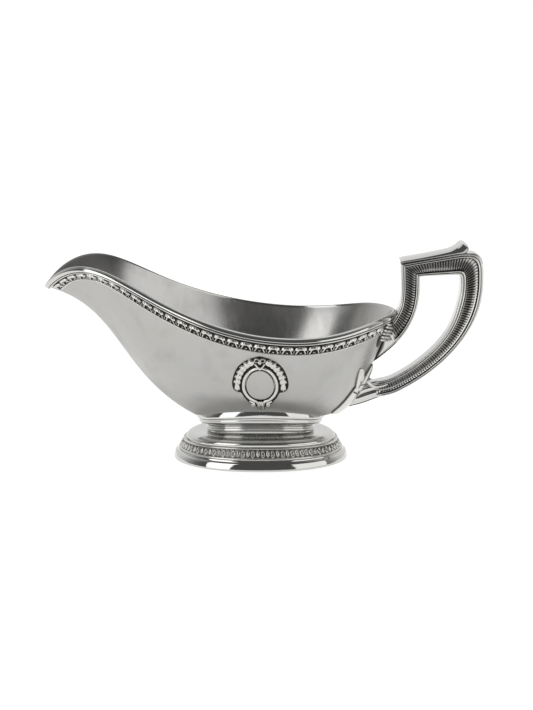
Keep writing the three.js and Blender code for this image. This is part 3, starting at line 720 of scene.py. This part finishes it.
STEM = [
    (54.5, 57.0, 54.0, 48.0), (58.5, 63.0, 58.4, 51.6), (61.3, 67.0, 65.3, 58.0),
    (63.4, 70.4, 69.7, 63.4), (65.2, 73.4, 72.4, 68.0), (66.8, 77.4, 74.4, 72.8),
    (67.4, 82.5, 75.8, 78.0), (67.3, 88.5, 76.5, 84.0), (66.9, 97.8, 76.6, 91.4),
]
LOOP = [
    (66.9, 97.8, 76.6, 91.4), (78.0, 99.8, 80.6, 91.7), (88.0, 101.7, 88.5, 92.0),
    (96.5, 103.2, 94.0, 92.2), (102.3, 103.3, 95.5, 91.9), (105.6, 101.4, 96.0, 91.0),
    (107.1, 98.0, 96.2, 89.5), (107.55, 92.0, 96.3, 87.0), (107.4, 84.0, 96.0, 82.5),
    (105.9, 75.6, 94.9, 77.0), (102.6, 67.2, 92.9, 70.0), (97.3, 58.6, 89.3, 62.6),
    (90.3, 50.4, 84.0, 55.9), (82.4, 43.4, 77.0, 49.5), (74.2, 37.7, 70.0, 44.5),
    (65.4, 32.9, 62.5, 40.4), (57.2, 30.5, 55.5, 38.7), (49.4, 27.6, 49.2, 37.0),
    (42.5, 25.7, 43.5, 33.0), (37.2, 24.0, 38.5, 28.0),
]
STEM_STEPS, LOOP_STEPS = 560, 1250
STEM_ROOT, LOOP_TAIL = 0.7, 0.16  # shares of them that may run into the wall
INTO_WALL = 0.6  # how far into it they go
HALF_DEPTH = 5.25
# Half of one broad side from the edge to the middle of its channel: across the loop, out
SECTION = np.array([
    (5.25, 0.0), (5.24, 1.8), (5.2, 3.2), (5.1, 4.2), (4.95, 4.8), (4.7, 5.1), (4.4, 5.2),
    (4.1, 5.18), (3.92, 5.05), (3.8, 5.1), (3.68, 5.4), (3.5, 5.62), (3.28, 5.66), (3.08, 5.55),
    (2.95, 5.3), (2.85, 5.0), (2.65, 4.62), (2.3, 4.35), (1.85, 4.17), (1.4, 4.06), (0.93, 3.98),
    (0.46, 3.94), (0.0, 3.92),
])
# Painted shade across the section: in the groove inside the edge roll, by the rails and in the
# channel
SECTION_DARK = np.array([
    0, 0, 0, 0, 0, 0, 0.1, 0.5, 0.9, 0.6, 0.1, 0,
    0, 0.1, 0.7, 1, 1, 1, 0.95, 0.9, 0.9, 0.9, 0.9,
])
# Places along the stem and the loop, counted in points of their outlines
CHANNEL_BEGINS, CHANNEL_ENDS = (1.75, 2.5), (16.35, 15.6)  # on the stem, on the loop
CREASE_ENDS = (17.9, 16.9)
LIGHT_CROSSES = (1, 5)  # from the inner to the outer side of the channel
# How much the reeds fade and a painted highlight lightens them: on the stem, and growing along the
# loop
FADE_AND_LIGHT_GROWS = (6, 9.5)
FADE_AND_LIGHT = (0.3, 0.8)
BROAD_FROM = 3.5  # the broad sides lie further out than this
PLAIN_OUT = 5.3  # how far out they are where the channel has ended
REED_PITCH, REED_DEPTH = 1.25, 0.5
CREASE_DEPTH = 0.7


def whole_section():
    half = np.vstack([SECTION, SECTION[-2::-1] * (-1, 1)])
    shade = np.concatenate([SECTION_DARK, SECTION_DARK[-2::-1]])
    under = half[-2:0:-1] * (1, -1)
    return np.vstack([half, under]), np.concatenate([shade, shade[-2:0:-1]])


def channelled_handle():
    section, section_dark = whole_section()
    outline = np.vstack([catmull(STEM, STEM_STEPS), catmull(LOOP, LOOP_STEPS)[1:]])
    outer, inner = outline[:, :2], outline[:, 2:]
    stem_place = np.linspace(0, len(STEM) - 1, STEM_STEPS)
    loop_place = np.linspace(0, len(LOOP) - 1, LOOP_STEPS)[1:]

    def both(on_stem, on_loop):
        return np.concatenate([on_stem + 0 * stem_place, on_loop])[:, None]

    channelled = both(ease(*CHANNEL_BEGINS, stem_place), ease(*CHANNEL_ENDS, loop_place))
    breadth = both(
        mix(0.3, 1, ease(-0.8, 2.2, stem_place)),
        mix(1, 0.86, ease(6, 17, loop_place)) * mix(1, 0.5, ease(17.5, 19.3, loop_place)),
    )
    middle = (outer + inner) / 2
    run = np.concatenate([[0], np.cumsum(np.linalg.norm(np.diff(middle, axis=0), axis=1))])
    reeds = np.abs(np.sin(PI * run / REED_PITCH))[:, None] ** 0.7
    reach, rise = section.T
    out = np.abs(rise)
    broad = out > BROAD_FROM
    in_channel = ease(2.8, 2.35, np.abs(reach)) * broad

    # The reeds fade out on the side of the channel that turns up to the light, and next to the
    # other rail, most of all on the lower arm; there a painted highlight lightens the painted
    # shade
    turned = both(-1.0, mix(-1, 1, ease(*LIGHT_CROSSES, loop_place)))
    lit_side = turned * reach
    lit = ease(0.2, 1.5, lit_side) * ease(2.75, 2.45, lit_side)
    strip = ease(1.9, 2.4, -lit_side) * ease(2.8, 2.6, -lit_side)
    faded_and_lit = both(FADE_AND_LIGHT[0], mix(*FADE_AND_LIGHT, ease(*FADE_AND_LIGHT_GROWS, loop_place)))
    reeded = in_channel * (1 - faded_and_lit * np.maximum(lit, strip))

    # Past its lower end the channel goes on as a crease
    crease = (1 - channelled) * np.exp(-((reach / 0.6) ** 2)) * broad
    crease = crease * both(0.0, ease(*CREASE_ENDS, loop_place))
    edge = 0.4 + 5.0 * np.sqrt(np.clip(1 - (reach / HALF_DEPTH) ** 4, 0, 1))
    flush = np.where(broad, np.minimum(PLAIN_OUT, edge), out)
    out = mix(flush, out + REED_DEPTH * (reeds - 0.5) * reeded, channelled)
    out = out - CREASE_DEPTH * crease
    across = (outer - inner) / (2 * HALF_DEPTH)
    points = np.stack([
        middle[:, :1] + across[:, :1] * reach,
        breadth * out * np.sign(rise),
        middle[:, 1:] + across[:, 1:] * reach,
    ], -1)

    # Painted shade in the channel and in the crease past it, lightened on the crests of the reeds
    # towards the light as a painted highlight
    flank = mix(0.15, 1, ease(-1, 1, turned * np.sign(reach))) * ease(0.7, 2.0, np.abs(reach))
    shade = np.clip(section_dark - in_channel * (0.1 + 0.6 * flank) * reeds**3, 0, 1)
    # painted highlight on the side turned up to the light and on the strip by the other rail
    shade = shade * (1 - faded_and_lit * np.maximum(lit, 0.6 * strip))
    shade = np.maximum(shade * channelled, crease)

    # Where the handle meets the body it ends inside the wall, and the corner is darkened with
    # painted shade and tarnish
    root = slice(0, math.ceil(STEM_STEPS * STEM_ROOT))
    x, y, z = np.moveaxis(points[root], -1, 0)
    s, t = on_wall(y, z, *FROM_STERN, (0, 0.75))
    wall_x = hull(s, t)[..., 0]
    corner = ease(75.5, 73.0, z) * ease(2.2, 0.4, x - wall_x)
    shade[root] = np.maximum(shade[root], corner)
    points[root, :, 0] = np.maximum(x, np.where(z < RIM[0][2], wall_x, 0) - INTO_WALL)
    tail = slice(math.floor(len(points) - LOOP_STEPS * LOOP_TAIL) + 1, None)
    x, y, z = np.moveaxis(points[tail], -1, 0)
    s, t = on_wall(x, y, *FROM_BELOW, (0, 0.35))
    points[tail, :, 2] = np.minimum(z, hull(s, t)[..., 2] + INTO_WALL)
    loft(points, dark=shade)
    make("channelled_handle", BRIGHT, "handle", sharp=60)


# The framed tablet on the near side: places are along and up in the plane of its middle

TABLET = dict(s=21.39, t=0.56, half=6.6, rise=8.8)
FRAME = dict(half=8.75, rise=10.85, hole=7.0, hole_rise=9.2)
SWAG = dict(half=10.75, rise=13.4, up=0.2)
# Splay, length and half width of the petals of each husk of the swags, and of the swags' ends
HUSK = ((-30, 3.2, 0.8), (26, 3.3, 1.0), (-4, 3.9, 1.05))
TASSEL = ((-13, 4.6, 0.85), (13, 4.6, 0.85), (0, 5.2, 0.9))
# Half the outline of the cast plate under the garland, from above the bow to the pendant leaf
PLATE = [
    (0, 15.7), (2.2, 15.1), (4.8, 14.2), (8.0, 12.3), (10.6, 9.6), (12.2, 6.3), (13.2, 2.5),
    (13.4, -0.8), (12.7, -3.2), (10.9, -4.4), (9.2, -4.8), (7.7, -8.0), (5.2, -12.0),
    (3.7, -13.8), (2.3, -14.4), (1.4, -18.4), (0, -19.3),
]
PLATE_BASE, PLATE_THICK = 0.2, 0.4
PLATE_STEPS, PLATE_ROWS = 1500, 58
HUSKS = 6  # in each swag
HUSKS_FROM, HUSKS_TO = 14, 74  # degrees from the top


def tablet_plane():
    place = (TABLET["s"], TABLET["t"])
    normal = hull_normal(*place)
    along = unit(np.cross((0, 0, 1), normal))
    return hull(*place), along, np.cross(normal, along), place


def oval_reach(angle, half, rise):
    return 1 / np.hypot(np.sin(angle) / half, np.cos(angle) / rise)


def plate_reach(angle):
    """Distance from the tablet's middle to the plate's edge. The angle starts at the top."""
    half = catmull(PLATE, 400)
    turn = np.arctan2(half[:, 0], half[:, 1])
    order = np.argsort(turn)
    away = np.abs((angle + PI) % (2 * PI) - PI)
    return np.interp(away, turn[order], np.hypot(half[:, 0], half[:, 1])[order])


def garland_relief(a, b):
    """Height of the frame, bow, husks, pendant leaf and curls above their plate."""
    angle = np.arctan2(a, b)
    inner = oval_reach(angle, FRAME["hole"], FRAME["hole_rise"])
    outer = oval_reach(angle, FRAME["half"], FRAME["rise"])
    share = np.clip((np.hypot(a, b) - inner) / (outer - inner), 0, 1)
    half, rise, up = SWAG.values()
    parts = [1.1 * np.sin(PI * share) ** 0.45]
    for side in (-1, 1):
        for turn in np.radians(np.linspace(HUSKS_FROM, HUSKS_TO, HUSKS)):
            place = (side * half * math.sin(turn), up + rise * math.cos(turn))
            heading = math.degrees(math.atan2(half * math.cos(turn), -rise * math.sin(turn)))
            for splay, length, width in HUSK:
                parts.append(petal(a, b, place, side * (heading + splay), length, width, 1.4))
        for splay, length, width in TASSEL:
            parts.append(petal(a, b, (side * half, 1.6), 180 + splay, length, width, 1.45))
        parts += [
            # the bow and its ribbons
            wire_oval(a, b, (side * 1.35, 14.0), 1.15, 0.75, 0.4, 1.2),
            ridge(near(side * a, b, 2.2, 12.2, 0.1, 9.6), 0.6, 1.35),
            # the curls at the foot of the band
            wire_oval(a, b, (side * 3.5, -11.9), 0.7, 0.7, 0.42, 1.25),
            ridge(near(side * a, b, 3.0, -11.0, 5.0, -9.8), 0.5, 1.0),
            # the pendant leaf
            petal(a, b, (side * 0.95, -8.8), 180 + side * 2, 9.6, 0.95, 1.5),
            petal(a, b, (side * 0.9, -8.7), 180 - side * 22, 3.2, 0.7, 1.35),
        ]
    parts += [
        petal(a, b, (0, -9.0), 180, 5.6, 0.6, 1.6),
        # the knot of the bow
        ridge(np.hypot(a, b - 12.9), 1.05, 1.5),
    ]
    return np.maximum.reduce(parts)


def tablet_garland():
    angle = (np.arange(PLATE_STEPS) / PLATE_STEPS * 2 * PI)[:, None]
    hole = oval_reach(angle, FRAME["hole"], FRAME["hole_rise"])
    share = np.linspace(0, 1, PLATE_ROWS)
    reach = mix(hole, plate_reach(angle), share)
    along, up = reach * np.sin(angle), reach * np.cos(angle)
    s, t = on_wall(along, up, *tablet_plane())
    relief = garland_relief(along, up)
    front = skin(s, t, PLATE_BASE + (PLATE_THICK + relief) * ease(1.0, 0.965, share))
    back = skin(s[:, [-1, 0]], t[:, [-1, 0]], BACKING)
    # painted shade and tarnish on the plate's ground round the ornaments, at its inner edge and on
    # its back
    dark = np.maximum(1 - ease(0.1, 0.65, relief), ease(0.05, 0.0, share))
    dark = np.pad(dark, ((0, 0), (0, 2)), constant_values=1)
    loft(np.concatenate([front, back], 1), joined=True, dark=dark)
    make("tablet_garland", CHASED, "tablet_frame", sharp=50)


# The bare tablet: the share of its size and the height of each ring from its middle to its back
TABLET_RINGS = [
    (0.04, 1.12), (0.3, 1.12), (0.6, 1.1), (0.85, 1.05), (0.93, 1.02), (0.965, 0.98),
    (0.985, 0.9), (0.998, 0.75), (1.0, 0.6), (1.0, 0.1), (0.5, 0.1), (0.04, 0.1),
]
TABLET_STEPS = 240


def bare_tablet():
    angle = np.arange(TABLET_STEPS) / TABLET_STEPS * 2 * PI
    size, height = np.array(TABLET_RINGS).T[..., None]
    reach = size * oval_reach(angle, TABLET["half"], TABLET["rise"])
    s, t = on_wall(reach * np.sin(angle), reach * np.cos(angle), *tablet_plane())
    # painted shade on the tablet's rounded edge and side
    loft(skin(s, t, height), dark=np.where(size > 0.984, 0.9, 0.0))
    make("bare_tablet", PLAIN, "tablet", sharp=60)


# The thumb rest: a plate along the top bar, domed across, whose far end flicks up

REST_HALF = 7.2
REST_TOP = [
    (66.6, 99.4), (74.0, 100.6), (82.5, 102.2), (88.6, 103.5), (91.2, 104.2), (93.5, 105.5),
    (95.1, 106.9), (96.5, 107.9), (98.0, 108.0),
]
REST_UNDER = [
    (66.8, 98.7), (74.2, 99.8), (83.0, 101.2), (89.5, 102.3), (93.8, 103.0), (97.3, 103.4),
    (98.9, 104.4), (99.4, 105.8), (99.0, 107.2),
]
REST_STEPS, REST_ACROSS = 150, 49
REST_CROWN = 0.8
CORNER, CORNER_LENGTH = 0.12, 0.03  # how much its corners by the bowl are rounded off
ROUND_FROM, ROUND_BY = 0.8, 0.82  # where its outline closes in at the far end, and how much
DROOP, DROOP_FROM = 0.75, 0.84  # how far the edges turn down, and from what share of its width


def thumb_plate():
    top, under = (catmull(line, REST_STEPS)[:, None] for line in (REST_TOP, REST_UNDER))
    place = np.linspace(0, 1, REST_STEPS)[:, None]
    half = REST_HALF * (1 - CORNER * np.clip(1 - place / CORNER_LENGTH, 0, 1) ** 2)
    closing = np.clip((place - ROUND_FROM) / (1 - ROUND_FROM), 0, 1)
    half = half * np.sqrt(1 - ROUND_BY * closing**2.4)
    crown = REST_CROWN * ease(0.8, 0.5, place) * ease(-0.02, 0.05, place)
    across = np.sin(np.linspace(-1, 1, REST_ACROSS) * PI / 2)
    edge = np.clip((np.abs(across) - DROOP_FROM) / (1 - DROOP_FROM), 0, 1)
    droop = (DROOP * edge**2.4)[:, None]
    top = top * (1 - droop) + under * droop
    x, z = np.moveaxis(top, -1, 0)
    upper = stack(x, half * across, z + crown * (1 - np.abs(across) ** 2.6))
    lower = stack(under[..., 0], half * 0.985 * across[::-1], under[..., 1])
    # painted shade on the underside
    dark = np.repeat([0.0, 0.7], REST_ACROSS)
    loft(np.concatenate([upper, lower], 1), dark=dark)
    make("thumb_plate", BRIGHT, "thumb_rest", sharp=60)


# The shells beside the stem: six ribs from the wall to the handle, one below the other, by where
# they start on the wall, across and up, and where they end on the handle

RIBS = [
    ((-13.6, 69.7), (63.8, -6.3, 68.0)), ((-14.2, 68.5), (64.0, -6.3, 66.5)),
    ((-14.7, 66.9), (63.4, -6.2, 64.7)), ((-14.9, 65.4), (63.0, -6.1, 63.3)),
    ((-15.0, 63.8), (62.3, -6.0, 61.6)), ((-14.4, 62.2), (63.0, -5.8, 60.3)),
]
RIB_POINTS = 6
RIB_RADIUS = 0.78
# A sheet under them, dark with painted shade: its middle on the wall and its half sizes
GROUND = dict(across=-11.3, up=64.2, half=5.6, rise=6.4)
GROUND_STEPS, GROUND_ROWS = 72, 8


def stem_shell(side, name, node):
    place = np.linspace(0, 1, RIB_POINTS)
    swell = np.sin(PI * place)
    for start, end in RIBS:
        start = (0.0, *start)
        path = place[:, None] * np.subtract(end, start) + start
        s, t = on_wall(path[:, 1], path[:, 2], *FROM_STERN, (-1.5, 0.85))
        wall = hull(s, t)[:, 0]
        path[:, 0] = np.maximum(wall + 0.25 + 0.9 * swell, mix(wall[0], end[0], place))
        path[:, 1] -= 0.6 * swell
        rod(path * (1, side, 1), RIB_RADIUS, count=36, flat=1.25)
    ring = np.arange(GROUND_STEPS) / GROUND_STEPS * 2 * PI
    share = np.linspace(1, 0.06, GROUND_ROWS)[:, None]
    y = side * (GROUND["across"] + GROUND["half"] * share * np.cos(ring))
    z = GROUND["up"] + GROUND["rise"] * share * np.sin(ring)
    s, t = on_wall(y, z, *FROM_STERN, (-1.2 * side, 0.85))
    ground = skin(s, t, 0.1 + 0.5 * np.sqrt(1 - share**4))
    # the sheet is coloured as painted shade
    loft(np.concatenate([skin(s[:1], t[:1], -0.3), ground]), dark=0.95)
    make(name, CHASED, node, sharp=50)


# The leaf at the lower joint lies on the wall: lobes fan out from the root of the handle.
# Places are along the wall from the middle of the stern and up it from the seat.

ALONG_SCALE, UP_SCALE = 9.5, 62.0  # millimetres to a station and to the whole height of the wall
# The tongue's outline: level, half width
TONGUE = [
    (4.6, 0.5), (4.9, 5.5), (5.8, 9.5), (7.2, 12.4), (9.0, 14.0), (12.0, 14.6), (20.0, 14.6),
    (27.0, 14.3), (29.0, 13.9), (31.0, 13.2), (32.5, 12.0), (34.0, 10.6), (35.5, 9.0),
    (36.0, 0.5),
]
# Place, end, half width, height
LOBES = [
    ((10.5, 28.0), (16.8, 40.4), 2.2, 0.8), ((13.9, 36.0), (16.2, 40.2), 1.1, 1.3),
    ((12.6, 33.4), (14.6, 38.4), 1.1, 1.4), ((7.8, 27.0), (7.0, 39.8), 3.2, 1.9),
]
CREASES = [(12.9, 26.4, 9.2, 24.8), (9.2, 24.8, 5.0, 26.0), (11.6, 29.6, 7.0, 31.2)]
# The inner rail of the channel ends in a small scroll with a curl
SCROLL = [
    (61.5, 4.8, 37.6), (58.0, 4.9, 36.9), (55.2, 5.1, 36.7), (52.9, 5.4, 37.6), (51.3, 5.6, 39.2),
    (50.6, 5.5, 40.6),
]
CURL = [(50.9, 5.6, 38.6), (49.6, 6.2, 38.4), (48.6, 6.8, 39.6)]
SUNK = -0.5  # height of what is hidden in the wall
CREASE_HALF, CREASE_CUT = 0.3, 0.45
LEAF_REACH, LEAF_LOW, LEAF_HIGH = 20.5, 4.5, 42.5  # half its length, and its levels
LEAF_ACROSS, LEAF_UP = 380, 330  # points


def leaf_relief(a, b):
    """Height of the leaf on the wall, and its painted shade along its edges, the lobes' edges and
    the creases.
    """
    a = np.abs(a)
    level, half = np.array(TONGUE).T
    half = np.interp(b, level, half)
    inside = (b > level[0]) & (b < level[-1]) & (a < half)
    height = 0.45 + 1.5 * (1 - np.clip(a / half, 0, 1) ** 2)
    height = np.where(inside, mix(0.4, height, ease(4.6, 7.5, b)), SUNK)
    dark = 0.9 * ease(half - 1.0, half - 0.5, a)
    for (x, y), (x2, y2), half, lift in LOBES:
        length = math.hypot(x2 - x, y2 - y)
        dx, dy = (x2 - x) / length, (y2 - y) / length
        along = ((a - x) * dx + (b - y) * dy) / length
        aside = (a - x) * dy - (b - y) * dx
        swell = np.sin(PI * np.clip(along * 0.9 + 0.1, 0, 1) ** 0.7)
        q = np.abs(aside / (half * np.maximum(swell, 1e-3) ** 0.6))
        bulge = ridge(q, 1, lift) * np.clip(swell, 0, 1) ** 0.4
        lobe = np.where((along > -0.1) & (along < 1) & (q < 1), 0.35 + bulge, SUNK)
        dark = np.where(lobe > height, 0.6 * ease(0.8, 0.98, q), dark)
        height = np.maximum(height, lobe)
    for line in CREASES:
        crease = np.exp(-((near(a, b, *line) / CREASE_HALF) ** 2)) * (height > 0)
        height = height - CREASE_CUT * crease
        dark = np.maximum(dark, crease)
    return height, dark


def lower_leaf():
    along = np.linspace(-LEAF_REACH, LEAF_REACH, LEAF_ACROSS)[:, None]
    up = np.linspace(LEAF_LOW, LEAF_HIGH, LEAF_UP)
    height, dark = leaf_relief(*np.broadcast_arrays(along, up))
    front = skin(along / ALONG_SCALE, up / UP_SCALE, height)
    back = skin(along / ALONG_SCALE, up[::-1] / UP_SCALE, -0.7)
    loft(np.concatenate([front, back], 1), dark=np.concatenate([dark, 0 * dark], 1))
    for side in (-1, 1):
        rod(np.multiply(SCROLL, (1, side, 1)), 0.95)
        rod(np.multiply(CURL, (1, side, 1)), 0.8)
    make("lower_leaf", CHASED, "handle_lower_leaf", sharp=50)


body()
moulded_rim()
leaf_border(-1, "near_leaf_border", "rim_border_front")
leaf_border(1, "far_leaf_border", "rim_border_back")
foot_ring("foot_waist", "foot_neck", NECK, 0.8)
foot_ring("foot_step", "foot_dome", DOME, 1.6)
foot_ring("foot_rim", "foot_plinth", PLINTH, 0.7)
foot_cup()
foot_leaf_border()
channelled_handle()
tablet_garland()
bare_tablet()
thumb_plate()
stem_shell(1, "near_shell", "stem_shell_front")
stem_shell(-1, "far_shell", "stem_shell_back")
lower_leaf()

# The stage, the lamps and the camera

WHITE = (1, 1, 1, 1)
FLOOR_SIZE, FLOOR_Z = 12, -0.0002
FLOOR_TONE = (0.6, 0.6, 0.6, 1)
FLOOR_GLOW = 0.78  # seen by the camera and in reflections only
# The backdrop is pale behind the object and the room in front is dim
ROOM_FROM, BACKDROP_FROM = -0.5, 0.75
ROOM_LIGHT, BACKDROP_LIGHT = 0.1, 0.9


def floor():
    half = FLOOR_SIZE / 2
    corners = [(x * half, y * half, FLOOR_Z) for x, y in ((-1, -1), (1, -1), (1, 1), (-1, 1))]
    mesh = bpy.data.meshes.new("floor")
    mesh.from_pydata(corners, [], [(0, 1, 2, 3)])
    piece = bpy.data.objects.new("floor", mesh)
    bpy.context.scene.collection.objects.link(piece)
    look = bpy.data.materials.new("white_floor")
    look.use_nodes = True
    nodes, links = look.node_tree.nodes, look.node_tree.links
    shader = nodes["Principled BSDF"]
    shader.inputs["Base Color"].default_value = FLOOR_TONE
    shader.inputs["Roughness"].default_value = 0.9
    shader.inputs["Specular IOR Level"].default_value = 0.0
    shader.inputs["Emission Color"].default_value = WHITE
    rays = nodes.new("ShaderNodeLightPath").outputs
    seen = math_of(nodes, links, "MAXIMUM", rays["Is Camera Ray"], rays["Is Glossy Ray"])
    glow = math_of(nodes, links, "MULTIPLY", seen, FLOOR_GLOW)
    links.new(glow, shader.inputs["Emission Strength"])
    piece.data.materials.append(look)


def room():
    world = bpy.data.worlds.new("studio")
    bpy.context.scene.world = world
    world.use_nodes = True
    nodes, links = world.node_tree.nodes, world.node_tree.links
    split = nodes.new("ShaderNodeSeparateXYZ")
    links.new(nodes.new("ShaderNodeTexCoord").outputs["Generated"], split.inputs[0])
    behind = nodes.new("ShaderNodeMapRange")
    behind.interpolation_type = "SMOOTHSTEP"
    behind.inputs["From Min"].default_value = ROOM_FROM
    behind.inputs["From Max"].default_value = BACKDROP_FROM
    behind.inputs["To Min"].default_value = ROOM_LIGHT
    behind.inputs["To Max"].default_value = BACKDROP_LIGHT
    links.new(split.outputs["Y"], behind.inputs["Value"])
    rays = nodes.new("ShaderNodeLightPath").outputs
    light = math_of(nodes, links, "MAXIMUM", rays["Is Camera Ray"], behind.outputs["Result"])
    links.new(light, nodes["Background"].inputs["Strength"])
    nodes["Background"].inputs["Color"].default_value = WHITE


LAMPS_FACE_Z = 0.05  # height that the lamps face


def lamp(name, azimuth, elevation, distance, width, height, power):
    """A soft box that faces the object. The azimuth turns from the camera's side towards +X."""
    light = bpy.data.lights.new(name, "AREA")
    light.shape = "RECTANGLE"
    light.size = width
    light.size_y = height
    light.energy = power
    piece = bpy.data.objects.new(name, light)
    bpy.context.scene.collection.objects.link(piece)
    a, e = math.radians(azimuth), math.radians(elevation)
    direction = (math.sin(a) * math.cos(e), -math.cos(a) * math.cos(e), math.sin(e))
    piece.location = [distance * d for d in direction]
    piece.location.z += LAMPS_FACE_Z
    piece.rotation_euler = (PI / 2 - e, 0, a)


floor()
room()
lamp("left_box", azimuth=-41, elevation=20, distance=1.1, width=0.6, height=0.9, power=3.0)
lamp("right_box", azimuth=54, elevation=14, distance=1.1, width=0.95, height=0.6, power=2.1)
lamp("top_box", azimuth=180, elevation=62, distance=1.3, width=0.9, height=0.5, power=0.8)

# The camera looks slightly down from 0.8 m away
CAMERA_PLACE = (0.00137, -0.7810, 0.2245)
CAMERA_TILT = 12.5
LENS, SENSOR = 81.72, 36
camera = bpy.data.objects.new("camera", bpy.data.cameras.new("camera"))
camera.location = CAMERA_PLACE
camera.rotation_euler = (math.radians(90 - CAMERA_TILT), 0, 0)
camera.data.lens = LENS
camera.data.sensor_width = SENSOR
camera.data.clip_start = 0.01
bpy.context.scene.collection.objects.link(camera)
bpy.context.scene.camera = camera
bpy.context.scene.view_settings.view_transform = "Standard"
